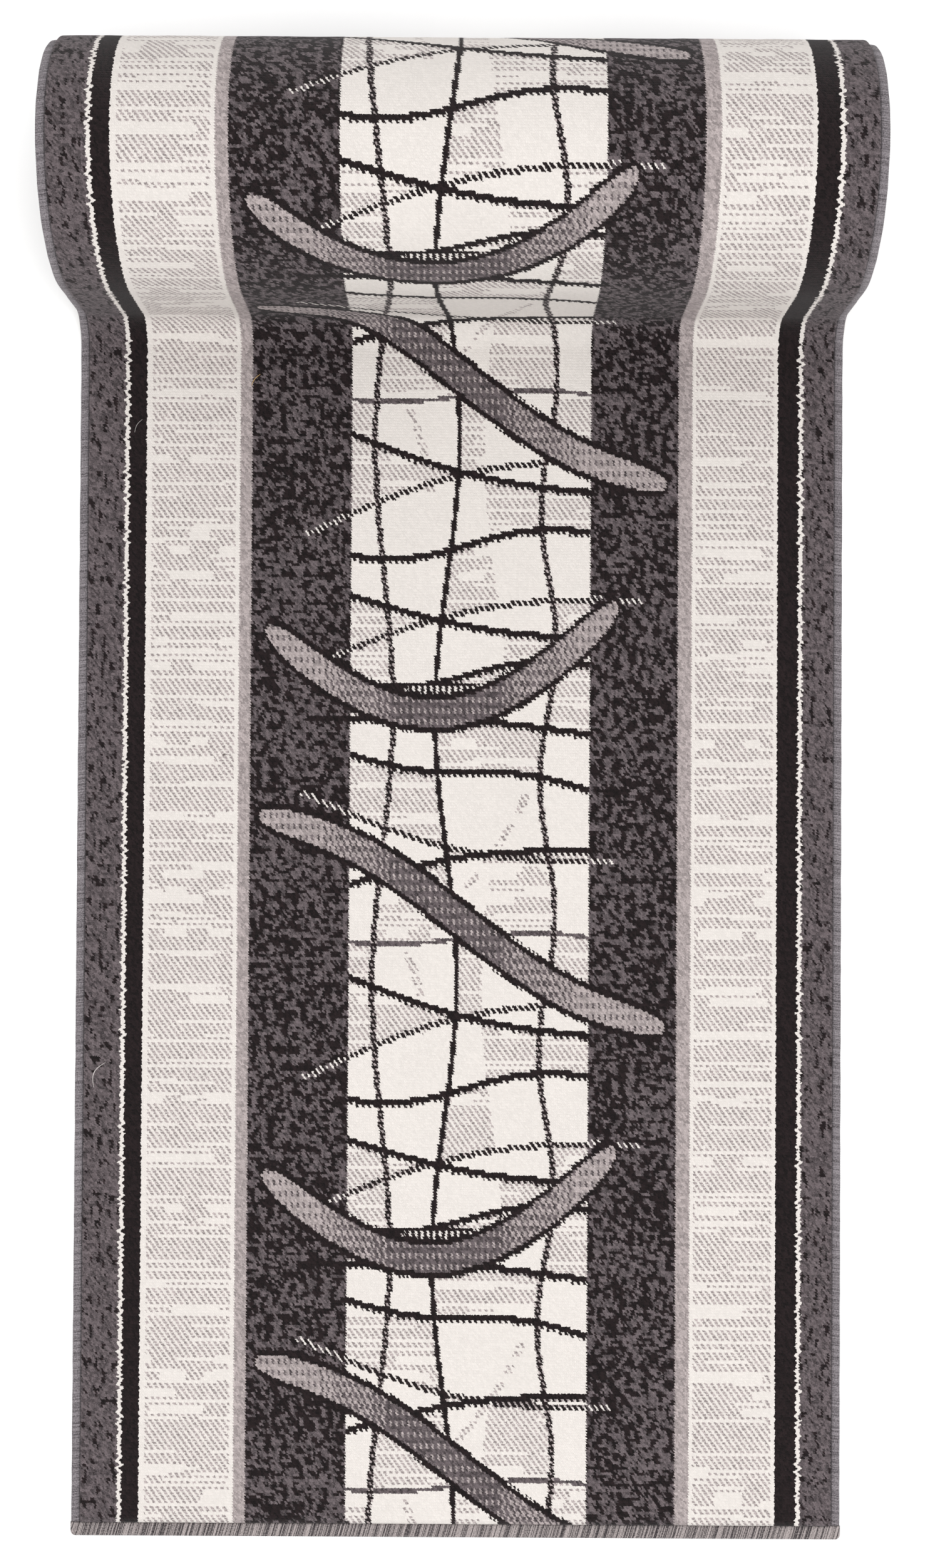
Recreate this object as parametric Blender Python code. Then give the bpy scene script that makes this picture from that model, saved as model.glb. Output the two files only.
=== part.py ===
"""A woven runner rug that lies along the floor, with its far end still rolled up, pile outwards.

X runs across the runner, +Y along it towards the roll, +Z is up. The origin is the middle of the
floor area under the whole object. The sheet follows one path, read in the Y-Z plane: flat on the
floor, up through a hollow bend, up the front of the roll, over its top and round and round inwards.
Every lengthwise piece is its own cross-section swept along that path.
"""

import math

import bpy

# Driving sizes, in metres
WIDTH = 0.800  # over the side bindings
RUNNER_LENGTH = 6.00  # end to end, flat and rolled stretches together
LAID_LENGTH = 1.237  # the flat stretch, from the free end to the start of the bend
BEND_RADIUS = 0.030  # of the pile surface, where the sheet leaves the floor
PILE_THICK = 0.0065
BACKING_THICK = 0.0022
GAP = 0.0003  # between pieces that touch
TURN_GAP = 0.0005  # between the turns of the roll
HOLLOW_RADIUS = 0.0312  # clear radius left in the middle of the roll
ROLL_OVAL = 0.0106  # how much more the roll's half height is than its half depth
SIDE_BINDING_WIDTH = 0.0095
END_BINDING_WIDTH = 0.0150
BINDING_THICK = 0.0020  # overlock yarn, on top of the backing
BINDING_WALL = 0.0016  # overlock yarn, round the backing's cut edge
BINDING_CHAMFER = 0.0012
END_SPARE = 0.0050  # how much further than its binding the stiff inner end stays straight

# Facets
TURN_STEPS = 24  # facets in each turn of the roll
BEND_STEPS = 6  # facets in the bend

# Worked out from them
STEP = 2 * math.pi / TURN_STEPS
MITRE = 1 / math.cos(STEP / 2)  # how much further out a facet's corner lies than its face
PILE_BASE = BACKING_THICK + GAP
SHEET_THICK = PILE_BASE + PILE_THICK
TURN_PITCH = (SHEET_THICK + TURN_GAP) * MITRE
BINDING_TOP = PILE_BASE + BINDING_THICK
END_STRAIGHT = END_BINDING_WIDTH + GAP + END_SPARE

# sRGB colours
PILE_COLOUR = (0.66, 0.64, 0.62)
BACKING_COLOUR = (0.78, 0.73, 0.64)
BINDING_COLOUR = (0.46, 0.45, 0.46)


def linear(channel):
    """One sRGB channel as scene-linear."""
    return channel / 12.92 if channel <= 0.04045 else ((channel + 0.055) / 1.055) ** 2.4


def material(name, colour, roughness):
    """A plain fabric material for one kind of yarn."""
    made = bpy.data.materials.new(name)
    made.use_nodes = True
    shader = made.node_tree.nodes["Principled BSDF"]
    shader.inputs["Base Color"].default_value = [linear(c) for c in colour] + [1]
    shader.inputs["Roughness"].default_value = roughness
    shader.inputs["Metallic"].default_value = 0
    return made


# ---- the path of the sheet's underside, as (y, z) points ----


def half_sizes(turns):
    """Half depth and half height of the roll's outermost pile surface, for this many turns."""
    middle = HOLLOW_RADIUS + SHEET_THICK + turns * TURN_PITCH
    return middle - ROLL_OVAL / 2, middle + ROLL_OVAL / 2


def roll_point(angle, half_depth, half_height):
    """The sheet's underside at an angle from the roll's front over its top, from the roll's middle.

    reach is how far the surface whose normal has this angle lies from the middle: an oval's, less
    the sheet's own thickness and one pitch for every turn. A surface given that way stays parallel
    to itself from turn to turn, so the layers never meet.
    """
    oval = math.hypot(half_depth * math.cos(angle), half_height * math.sin(angle))
    reach = oval - SHEET_THICK - TURN_PITCH * angle / (2 * math.pi)
    slope = (half_height**2 - half_depth**2) * math.sin(angle) * math.cos(angle) / oval
    slope -= TURN_PITCH / (2 * math.pi)
    y = -reach * math.cos(angle) + slope * math.sin(angle)
    z = reach * math.sin(angle) + slope * math.cos(angle)
    return y, z


def toward(start, target, distance):
    """The point this far from start, on the straight line to target."""
    share = distance / math.dist(start, target)
    return tuple(s + share * (t - s) for s, t in zip(start, target))


def path_length(points):
    return sum(math.dist(a, b) for a, b in zip(points, points[1:]))


def sheet_path(turns):
    """The whole underside for a roll of this many turns, with the bend's foot at y = 0."""
    half_depth, half_height = half_sizes(turns)
    bend = BEND_RADIUS + SHEET_THICK
    middle_y = BEND_RADIUS + half_depth
    middle_z = half_height - SHEET_THICK - 0.75 * TURN_PITCH + SHEET_THICK * MITRE
    points = [(-LAID_LENGTH, 0.0)]
    for i in range(BEND_STEPS + 1):
        turned = math.pi / 2 * i / BEND_STEPS
        points.append((bend * math.sin(turned), bend - bend * math.cos(turned)))
    whole_steps = int(turns * TURN_STEPS)
    for i in range(whole_steps + 1):
        y, z = roll_point(i * STEP, half_depth, half_height)
        points.append((middle_y + y, middle_z + z))
    y, z = roll_point((whole_steps + 2) * STEP, half_depth, half_height)
    # The end facet is cut to length along the chord of two facets, so it stays straight.
    left_over = (turns * TURN_STEPS - whole_steps) * math.dist(points[-1], points[-2])
    points.append(toward(points[-1], (middle_y + y, middle_z + z), END_STRAIGHT + left_over))
    return points


def turns_for_length():
    """The number of turns that uses up the whole runner, found by halving an interval."""
    low, high = 0.5, 60.0
    for _ in range(60):
        turns = (low + high) / 2
        if path_length(sheet_path(turns)) < RUNNER_LENGTH:
            low = turns
        else:
            high = turns
    return low


def centred(points):
    """The path moved along Y, so that the origin is under the middle of the whole object."""
    front_y = points[0][0]
    back_y = max(y for y, z in points) + SHEET_THICK * MITRE
    shift = (front_y + back_y) / 2
    return [(y - shift, z) for y, z in points]


def trimmed(points, margin):
    """The path shortened by margin at both ends."""
    first = toward(points[0], points[1], margin)
    last = toward(points[-1], points[-2], margin)
    return [first, *points[1:-1], last]


# ---- curves ----


def polygon_curve(name, points, closed):
    """A flat curve of straight pieces through 2D points."""
    data = bpy.data.curves.new(name, "CURVE")
    data.dimensions = "2D"
    spline = data.splines.new("POLY")
    spline.points.add(len(points) - 1)
    for point, (u, v) in zip(spline.points, points):
        point.co = (u, v, 0, 1)
    spline.use_cyclic_u = closed
    return data


def stand_up(piece):
    """Turns a flat curve so that its x runs along Y, its y up Z and its depth along X."""
    piece.rotation_euler = (math.pi / 2, 0, math.pi / 2)


def add_guide(name, outline, guides):
    """A closed cross-section, as (height above the underside, place across) points.

    Seen along the path, with the pile up, the points run clockwise, so the sweep faces outwards.
    """
    data = polygon_curve(name, [(-height, across) for height, across in outline], True)
    data.fill_mode = "NONE"
    guide = bpy.data.objects.new(name, data)
    guide.hide_render = True
    guide.display_type = "WIRE"
    guides.objects.link(guide)
    return guide


def add_sweep(name, outline, path, finish, parts, guides):
    """A closed cross-section carried along the sheet's path."""
    data = polygon_curve(name, path, False)
    data.fill_mode = "NONE"
    data.bevel_mode = "OBJECT"
    data.bevel_object = add_guide(name + "_section", outline, guides)
    data.use_fill_caps = True
    data.materials.append(finish)
    piece = bpy.data.objects.new(name, data)
    stand_up(piece)
    parts.objects.link(piece)
    return piece


# ---- pieces ----


def rectangle(low, high, left, right):
    """A cross-section of a layer, between two heights and two places across."""
    return [(low, left), (high, left), (high, right), (low, right)]


def side_binding_outline():
    """The right-hand overlocked edge: it caps the backing's selvedge and hangs down beside it."""
    outer = WIDTH / 2
    wall = outer - BINDING_WALL
    inner = outer - SIDE_BINDING_WIDTH
    return [
        (0, wall),
        (PILE_BASE, wall),
        (PILE_BASE, inner),
        (BINDING_TOP, inner),
        (BINDING_TOP, outer - BINDING_CHAMFER),
        (BINDING_TOP - BINDING_CHAMFER, outer),
        (0, outer),
    ]


def mirrored(outline):
    """The same cross-section on the other side of the middle, still running the same way round."""
    return [(height, -across) for height, across in reversed(outline)]


def end_binding_outline():
    """The overlocked end, as (distance in from the end, height above the underside) points."""
    return [
        (0, 0),
        (BINDING_WALL, 0),
        (BINDING_WALL, PILE_BASE),
        (END_BINDING_WIDTH, PILE_BASE),
        (END_BINDING_WIDTH, BINDING_TOP),
        (BINDING_CHAMFER, BINDING_TOP),
        (0, BINDING_TOP - BINDING_CHAMFER),
    ]


def add_end_binding(name, end, inward, face, finish, parts):
    """An overlocked end: end and inward are path points, face is +1 or -1 for the pile's side."""
    along = [(i - e) / math.dist(end, inward) for e, i in zip(end, inward)]
    up = (-face * along[1], face * along[0])
    points = []
    for distance, height in end_binding_outline():
        y = end[0] + distance * along[0] + height * up[0]
        z = end[1] + distance * along[1] + height * up[1]
        points.append((y, z))
    data = polygon_curve(name, points, True)
    data.fill_mode = "BOTH"
    data.extrude = WIDTH / 2
    data.materials.append(finish)
    piece = bpy.data.objects.new(name, data)
    stand_up(piece)
    parts.objects.link(piece)
    return piece


def clear_scene():
    for item in list(bpy.data.objects):
        bpy.data.objects.remove(item, do_unlink=True)


def add_collection(name):
    made = bpy.data.collections.new(name)
    bpy.context.scene.collection.children.link(made)
    return made


def build():
    clear_scene()
    parts = add_collection("runner_rug")
    guides = add_collection("cross_sections")
    pile_yarn = material("pile_yarn", PILE_COLOUR, 0.95)
    ground_weave = material("ground_weave", BACKING_COLOUR, 0.9)
    overlock_yarn = material("overlock_yarn", BINDING_COLOUR, 0.85)

    path = centred(sheet_path(turns_for_length()))
    backing_path = trimmed(path, BINDING_WALL + GAP)
    pile_path = trimmed(path, END_BINDING_WIDTH + GAP)

    backing_half = WIDTH / 2 - BINDING_WALL - GAP
    backing = rectangle(0, BACKING_THICK, -backing_half, backing_half)
    add_sweep("backing", backing, backing_path, ground_weave, parts, guides)

    pile_half = WIDTH / 2 - SIDE_BINDING_WIDTH - GAP
    pile = rectangle(PILE_BASE, SHEET_THICK, -pile_half, pile_half)
    add_sweep("pile_face", pile, pile_path, pile_yarn, parts, guides)

    right = side_binding_outline()
    add_sweep("edge_binding_right", right, pile_path, overlock_yarn, parts, guides)
    add_sweep("edge_binding_left", mirrored(right), pile_path, overlock_yarn, parts, guides)

    add_end_binding("end_binding_front", path[0], path[1], 1, overlock_yarn, parts)
    add_end_binding("end_binding_inner", path[-1], path[-2], -1, overlock_yarn, parts)


build()
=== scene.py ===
"""A woven runner rug laid pile up along the floor, with its far end still in a roll.

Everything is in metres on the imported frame: X across the runner, Y along it towards the roll, Z up.
The sheet follows one path, and every piece is a skin carried along it.
"""

import logging
import math
from collections.abc import Callable
from dataclasses import dataclass, field
from enum import Enum
from functools import partial

import bpy
import numpy as np
from mathutils import Matrix, Vector


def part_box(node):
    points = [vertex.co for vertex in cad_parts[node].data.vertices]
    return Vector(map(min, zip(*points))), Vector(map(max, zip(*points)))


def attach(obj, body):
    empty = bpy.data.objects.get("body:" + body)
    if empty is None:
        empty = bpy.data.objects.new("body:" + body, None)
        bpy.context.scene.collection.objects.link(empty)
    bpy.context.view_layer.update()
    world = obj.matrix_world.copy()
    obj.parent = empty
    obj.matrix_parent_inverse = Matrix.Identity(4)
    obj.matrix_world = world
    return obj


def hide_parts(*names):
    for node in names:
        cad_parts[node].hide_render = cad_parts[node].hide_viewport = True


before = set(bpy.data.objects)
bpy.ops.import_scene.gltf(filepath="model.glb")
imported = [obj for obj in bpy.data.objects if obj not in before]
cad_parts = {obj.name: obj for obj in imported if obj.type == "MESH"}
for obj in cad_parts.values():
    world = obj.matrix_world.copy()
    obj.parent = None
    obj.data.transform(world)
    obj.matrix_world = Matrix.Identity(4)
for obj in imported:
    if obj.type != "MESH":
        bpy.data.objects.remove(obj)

LOG = logging.getLogger("runner_rug")

MIX = "ShaderNodeMix"
CURVE = "ShaderNodeFloatCurve"
NOISE = "ShaderNodeTexNoise"
RANDOM = "ShaderNodeTexWhiteNoise"
JOIN = "ShaderNodeCombineXYZ"
SPLIT = "ShaderNodeSeparateXYZ"
RAMP = "ShaderNodeMapRange"

Places = tuple[tuple[float, float], ...]
Socket = bpy.types.NodeSocket


# ---------------------------------------------------------------- the sheet's path


@dataclass(frozen=True)
class SheetPath:
    """The line that the sheet's underside follows in the Y-Z plane: flat, hollow bend, roll, straight tail.

    In the roll, the surface whose normal makes an angle a with the roll's front lies at a reach from the
    middle of hypot(half depth * cos a, half height * sin a), less the sheet and one pitch for every turn.
    """

    laid_length: float = 1.237
    bend_radius: float = 0.030
    sheet_thick: float = 0.009
    turn_gap: float = 0.0005
    hollow_radius: float = 0.0312
    oval: float = 0.0106
    turns: float = 9.52676
    facets: int = 24
    curled_facets: int = 228
    tail: float = 0.02828

    @property
    def mitre(self) -> float:
        """How much further out a facet's corner lies than its face."""
        return 1 / math.cos(math.pi / self.facets)

    @property
    def pitch(self) -> float:
        """The distance from one turn of the roll to the next."""
        return (self.sheet_thick + self.turn_gap) * self.mitre

    def roll_points(self, angle: np.ndarray) -> tuple[np.ndarray, np.ndarray]:
        """The underside in the roll, from the roll's middle.

        Args:
            angle: turned angles, 0 at the roll's front and a quarter turn at its top.

        Returns:
            The y and z of each.
        """
        middle = self.hollow_radius + self.sheet_thick + self.turns * self.pitch
        deep, high = middle - self.oval / 2, middle + self.oval / 2
        oval = np.hypot(deep * np.cos(angle), high * np.sin(angle))
        reach = oval - self.sheet_thick - self.pitch * angle / (2 * math.pi)
        slope = (high**2 - deep**2) * np.sin(angle) * np.cos(angle) / oval - self.pitch / (2 * math.pi)
        y = -reach * np.cos(angle) + slope * np.sin(angle)
        z = reach * np.sin(angle) + slope * np.cos(angle)
        lift = high - self.sheet_thick - 0.75 * self.pitch + self.sheet_thick * self.mitre
        return y + self.bend_radius + deep, z + lift

    def trace(self, front: float) -> "Trace":
        """Walks the whole path in fine steps.

        Args:
            front: the y of the free end.

        Returns:
            The path with its lengths, ready to read off.
        """
        bend = self.bend_radius + self.sheet_thick
        flat_y = np.linspace(-self.laid_length, 0, 800, endpoint=False)
        turned = np.linspace(0, math.pi / 2, 160)
        angle = np.linspace(0, 2 * math.pi * self.curled_facets / self.facets, 9000)
        roll_y, roll_z = self.roll_points(angle)
        aim_y, aim_z = self.roll_points(np.array([angle[-1] + 4 * math.pi / self.facets]))
        along = np.array([aim_y[0] - roll_y[-1], aim_z[0] - roll_z[-1]])
        along /= np.hypot(*along)
        tail = np.linspace(0.004, self.tail, 30)
        y = np.concatenate([flat_y, bend * np.sin(turned), roll_y, roll_y[-1] + tail * along[0]])
        z = np.concatenate([0 * flat_y, bend - bend * np.cos(turned), roll_z, roll_z[-1] + tail * along[1]])
        normal_y = np.concatenate([0 * flat_y, -np.sin(turned), -np.cos(angle), np.full(30, -along[1])])
        normal_z = np.concatenate([1 + 0 * flat_y, np.cos(turned), np.sin(angle), np.full(30, along[0])])
        points = np.stack([y + front + self.laid_length, z], 1)
        return Trace(points, np.stack([normal_y, normal_z], 1), self.sheet_thick)


@dataclass
class Trace:
    """The walked path: its points, the direction of the pile at each, and the lengths along it."""

    points: np.ndarray
    normals: np.ndarray
    thick: float
    run: np.ndarray = field(init=False)
    pile_run: np.ndarray = field(init=False)

    def __post_init__(self) -> None:
        """Adds up the lengths along the underside and along the pile's face."""
        steps = np.hypot(*np.diff(self.points, axis=0).T)
        face = np.hypot(*np.diff(self.points + self.thick * self.normals, axis=0).T)
        self.run = np.concatenate([[0], np.cumsum(steps)])
        self.pile_run = np.concatenate([[0], np.cumsum(face)])

    @property
    def length(self) -> float:
        """The whole length of the sheet."""
        return float(self.run[-1])

    def place(self, across: np.ndarray, run: np.ndarray, height: np.ndarray) -> np.ndarray:
        """Puts points on the sheet.

        Args:
            across: x of each point.
            run: its distance along the underside from the free end.
            height: its height above the underside.

        Returns:
            An array of points: the path's point at that run, plus the height along the path's normal.
        """
        y, z = (np.interp(run, self.run, self.points[:, k]) for k in (0, 1))
        ny, nz = (np.interp(run, self.run, self.normals[:, k]) for k in (0, 1))
        size = np.hypot(ny, nz)
        across, y = np.broadcast_arrays(across, y)
        return np.stack([across, y + height * ny / size, z + height * nz / size], -1)

    def stations(self, first: float, last: float, step: float, turn: float) -> np.ndarray:
        """Distances along the path, closer together where it curves.

        Args:
            first: the first of them.
            last: the last of them.
            step: the widest spacing.
            turn: the most that the path may turn between two, in radians.

        Returns:
            The distances, spaced evenly in the running total of max(1/step, curvature/turn).
        """
        heading = np.unwrap(np.arctan2(self.normals[:, 1], self.normals[:, 0]))
        gap = np.maximum(np.diff(self.run), 1e-9)
        crowd = np.maximum(1 / step, np.minimum(np.abs(np.diff(heading)) / gap, 60) / turn)
        work = np.concatenate([[0], np.cumsum(crowd * gap)])
        low, high = np.interp([first, last], self.run, work)
        return np.interp(np.linspace(low, high, int(high - low) + 2), work, self.run)


@dataclass
class Skin:
    """A closed skin: rings of points, one at each station, joined into a tube and capped.

    weave is the place of each point on the flat sheet in metres, with one more point a ring to close it.
    spread is each point's share of the way round, 0 to 1, and folds the columns that the long strip is
    laid in, side by side, on the map that textures are baked to.
    """

    name: str
    rings: np.ndarray
    weave: np.ndarray
    spread: np.ndarray
    folds: int = 1

    def build(self) -> bpy.types.Object:
        """Makes the mesh, with faces outwards and both maps.

        Returns:
            The object, at the origin, linked to the scene.
        """
        rows, around, _ = self.rings.shape
        r, c = np.meshgrid(np.arange(rows - 1), np.arange(around), indexing="ij")
        corners_r = np.stack([r, r, r + 1, r + 1], -1).reshape(-1, 4)
        corners_c = np.stack([c, c + 1, c + 1, c], -1).reshape(-1, 4)
        quads = corners_r * around + corners_c % around
        first, last = np.arange(around)[::-1], (rows - 1) * around + np.arange(around)
        per_fold = -(-(rows - 1) // self.folds)
        fold = r.reshape(-1) // per_fold
        side = (fold[:, None] + 0.03 + 0.94 * self.spread[corners_c]) / self.folds
        up = 0.97 * (corners_r - fold[:, None] * per_fold) / per_fold
        bake = np.stack([side, up], -1).reshape(-1, 2)
        weave = self.weave[corners_r, corners_c].reshape(-1, 2)
        ring = np.linspace(0, 2 * math.pi, around, endpoint=False)
        cap = 0.008 * np.stack([np.cos(ring), np.sin(ring)], -1)
        bake = np.concatenate([bake, cap[::-1] + [0.02, 0.985], cap + [0.05, 0.985]])
        weave = np.concatenate([weave, self.weave[0, :-1][::-1], self.weave[-1, :-1]])
        mesh = bpy.data.meshes.new(self.name)
        faces = quads.tolist() + [first.tolist(), last.tolist()]
        mesh.from_pydata(self.rings.reshape(-1, 3).tolist(), [], faces)
        for map_name, places in (("weave", weave), ("OFBake", bake)):
            mesh.uv_layers.new(name=map_name).data.foreach_set("uv", places.astype(np.float32).ravel())
        mesh.polygons.foreach_set("use_smooth", np.arange(len(mesh.polygons)) < len(quads))
        if self.volume() < 0:
            mesh.flip_normals()
        mesh.update()
        piece = bpy.data.objects.new(self.name, mesh)
        bpy.context.scene.collection.objects.link(piece)
        return piece

    def volume(self) -> float:
        """The signed volume of the skin, as the sum of the thin wedges between its rings.

        Returns:
            The volume, which is below 0 when the faces point inwards.
        """
        points = self.rings
        a, b = points[:-1], points[1:]
        c, d = np.roll(a, -1, 1), np.roll(b, -1, 1)
        walls = np.sum(a * np.cross(c, d)) + np.sum(a * np.cross(d, b))
        ends = 0.0
        for ring, sign in ((points[0], -1), (points[-1], 1)):
            middle = ring.mean(0)
            ends += sign * np.sum(middle * np.cross(ring, np.roll(ring, -1, 0)))
        return float(walls + ends) / 6


# ---------------------------------------------------------------- nodes


def linear(colour: str) -> tuple[float, float, float, float]:
    """Turns an sRGB hex colour to scene-linear.

    Args:
        colour: such as "#EDE6DF".

    Returns:
        Red, green, blue and 1.
    """
    parts = [int(colour[k : k + 2], 16) / 255 for k in (1, 3, 5)]
    return (*(p / 12.92 if p <= 0.04045 else ((p + 0.055) / 1.055) ** 2.4 for p in parts), 1.0)


class Op(Enum):
    """What a Math node works out, by Blender's name for it."""

    TIMES = "MULTIPLY"
    PLUS = "ADD"
    MINUS = "SUBTRACT"
    OVER = "DIVIDE"
    TIMES_PLUS = "MULTIPLY_ADD"
    ABOVE = "GREATER_THAN"
    BELOW = "LESS_THAN"
    NEAR = "COMPARE"
    LARGER = "MAXIMUM"
    SMALLER = "MINIMUM"
    FLOOR = "FLOOR"
    FRACTION = "FRACT"
    REMAINDER = "FLOORED_MODULO"
    POWER = "POWER"
    SINE = "SINE"
    ABSOLUTE = "ABSOLUTE"


def add_node(
    tree: bpy.types.NodeTree,
    kind: str | Op,
    inputs: tuple | dict = (),
    output: int | str = 0,
    points: Places = (),
    **settings: object,
) -> Socket:
    """Adds a node with its settings and links.

    Args:
        tree: the node tree.
        kind: the node's type, or what a Math node works out.
        inputs: values or sockets, in order or by name; None leaves one as it is.
        output: the output wanted.
        points: where a curve node's curve passes, in ascending order.
        settings: the node's own properties.

    Returns:
        The wanted output.
    """
    if isinstance(kind, Op):
        kind, settings = "ShaderNodeMath", {"operation": kind.value, **settings}
    node = tree.nodes.new(kind)
    for name, value in settings.items():
        setattr(node, name, value)
    for place, value in inputs.items() if isinstance(inputs, dict) else enumerate(inputs):
        if isinstance(value, Socket):
            tree.links.new(value, node.inputs[place])
        elif value is not None:
            node.inputs[place].default_value = value
    if points:
        curve = node.mapping.curves[0]
        node.mapping.extend = "HORIZONTAL"
        curve.points[0].location, curve.points[-1].location = points[0], points[-1]
        for x, y in points[1:-1]:
            curve.points.new(x, y)
        for point in curve.points:
            point.handle_type = "AUTO_CLAMPED"
        node.mapping.update()
    return node.outputs[output]


def new_material(name: str) -> tuple[bpy.types.Material, bpy.types.NodeTree, bpy.types.Node]:
    """An empty node material.

    Args:
        name: the real material and how it was made.

    Returns:
        The material, its tree and its shader.
    """
    made = bpy.data.materials.new(name)
    made.use_nodes = True
    return made, made.node_tree, made.node_tree.nodes["Principled BSDF"]


def cover(shader: bpy.types.Node, colour: Socket, settings: dict[str, float], relief: tuple = ()) -> None:
    """Gives a shader its colour, its own settings and its relief.

    Args:
        shader: the shader.
        colour: what colours it.
        settings: a number for each of its own sockets named.
        relief: the height, how strong it shows, and how far it reaches in metres.
    """
    tree = shader.id_data
    tree.links.new(colour, shader.inputs["Base Color"])
    for name, value in settings.items():
        shader.inputs[name].default_value = value
    if relief:
        bump = dict(zip(("Height", "Strength", "Distance"), relief))
        tree.links.new(add_node(tree, "ShaderNodeBump", bump), shader.inputs["Normal"])


# ---------------------------------------------------------------- the woven design


class Yarn(Enum):
    """The four pile yarns, by the number that the material carries for each."""

    IVORY = 0.0
    LIGHT = 1.0
    DARK = 2.0
    BLACK = 3.0


class Edge(Enum):
    """How closely a band's edge keeps to a straight line, as the share of the waver that it follows."""

    STRAIGHT = 0.0
    STIRRED = 0.35
    WAVY = 1.0


class Stroke(Enum):
    """How a drawn line is woven."""

    COMB = "black, with teeth on its near side"
    SOLID = "a comb that runs on over the dark panel"
    GREY = "dark grey, a pick and a half thick"
    DOTTED = "black dots on the light field, ivory dots on the dark panels"
    THREAD = "black, two or three tufts thick, along the runner"
    BEADED = "black and grey tufts by turns, along the runner"
    UNSEEN = "not drawn, but the hatching changes where it runs"
    TRAIL = "a narrow stripe of hatching"


@dataclass(frozen=True)
class Line:
    """One drawn line, in millimetres: it runs over a span, from one level to another, with some waves.

    The levels of a line across the runner are distances along it, and those of an upright are distances
    across. swap is what crossing the line adds to the number whose binary digits say which of the five
    columns of cells are hatched there. The swaps of one repeat add up to nothing.
    """

    stroke: Stroke
    span: tuple[float, float]
    levels: tuple[float, float]
    bow: float
    waves: int = 1
    swap: float = 0.0

    def points(self) -> Places:
        """Points on the line: straight from level to level, plus the bow times the sine of its half waves.

        Returns:
            Each point's place along the span and its level.
        """
        t = np.linspace(0, 1, 9 if self.waves < 3 else 17)
        straight = self.levels[0] + (self.levels[1] - self.levels[0]) * t
        level = straight + self.bow * np.sin(math.pi * self.waves * t)
        place = self.span[0] + (self.span[1] - self.span[0]) * t
        return tuple(zip(place.tolist(), level.tolist()))


@dataclass(frozen=True)
class Ribbon:
    """A wide brush stroke across the runner, outlined in black, in millimetres.

    Its middle goes from level to level with a sag in the form of half a sine and a sway in the form of a
    whole one. Its thickness is measured square to its slope and closes to round ends.
    """

    span: tuple[float, float]
    levels: tuple[float, float]
    sag: float
    sway: float
    thick: float = 28.0
    past: float = 5.0  # how far beyond an end the edges' last points are
    apart: float = 20.0  # and how far they have crossed there

    def edge(self, side: int) -> Places:
        """Points along one edge.

        Args:
            side: -1 for the far edge and 1 for the near one.

        Returns:
            The points, with one more beyond each end where the two edges have crossed and lie well apart.
        """
        t = (1 - np.cos(np.linspace(0, math.pi, 17))) / 2
        length, rise = self.span[1] - self.span[0], self.levels[1] - self.levels[0]
        half_wave, wave = math.pi * t, 2 * math.pi * t
        middle = self.levels[0] + rise * t + self.sag * np.sin(half_wave) + self.sway * np.sin(wave)
        slope = rise + math.pi * self.sag * np.cos(half_wave) + 2 * math.pi * self.sway * np.cos(wave)
        half = self.thick / 2 * np.hypot(1, slope / length) * np.sqrt(1 - np.abs(2 * t - 1) ** 10)
        place = self.span[0] + length * t
        first = (float(place[0]) - self.past, float(middle[0]) - side * self.apart)
        last = (float(place[-1]) + self.past, float(middle[-1]) - side * self.apart)
        return (first, *zip(place.tolist(), (middle + side * half).tolist()), last)


# The bands that run the whole length: where each starts, in metres from the left edge, its yarn and its edge.
BANDS = (
    (0.0484, Yarn.IVORY, Edge.WAVY),
    (0.0525, Yarn.BLACK, Edge.WAVY),
    (0.0707, Yarn.IVORY, Edge.STIRRED),
    (0.1680, Yarn.LIGHT, Edge.STRAIGHT),
    (0.1810, Yarn.DARK, Edge.STRAIGHT),
    (0.2850, Yarn.IVORY, Edge.STRAIGHT),
    (0.5350, Yarn.DARK, Edge.STRAIGHT),
    (0.6275, Yarn.LIGHT, Edge.STRAIGHT),
    (0.6410, Yarn.IVORY, Edge.STRAIGHT),
    (0.7310, Yarn.BLACK, Edge.STIRRED),
    (0.7530, Yarn.IVORY, Edge.WAVY),
    (0.7572, Yarn.DARK, Edge.WAVY),
)
FIELD = (285.0, 535.0)  # the middle field, in millimetres
MIDDLE_FIELD = (FIELD[0] / 1000, FIELD[1] / 1000)
DARK_PANELS = ((0.181, MIDDLE_FIELD[0]), (MIDDLE_FIELD[1], 0.6275))
HATCHED_BANDS = ((0.0765, 0.1650), (0.6455, 0.7270))
BORDERS = (0.047, 0.7572)  # the borders lie outside these two

REPEAT = (0.0, 567.3)
LINES = (
    Line(Stroke.COMB, FIELD, (20, 64), 10, 1, -9.0),
    Line(Stroke.DOTTED, (232, 590), (100, 24), -26, 1, 14.0),
    Line(Stroke.COMB, FIELD, (112, 92), 8, 2, -3.0),
    Line(Stroke.SOLID, (240, 535), (150, 164), -8, 1, -5.0),
    Line(Stroke.COMB, FIELD, (186, 222), 6, 2, -9.0),
    Line(Stroke.DOTTED, (234, 562), (226, 296), 24, 1, 17.0),
    Line(Stroke.COMB, FIELD, (322, 286), -12, 1, -10.0),
    Line(Stroke.GREY, (226, 580), (372, 384), 9, 2, 11.0),
    Line(Stroke.COMB, FIELD, (418, 478), 12, 1, 22.0),
    Line(Stroke.DOTTED, (238, 596), (524, 450), -30, 1, -19.0),
    Line(Stroke.COMB, FIELD, (546, 520), 8, 2, -20.0),
)
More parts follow.
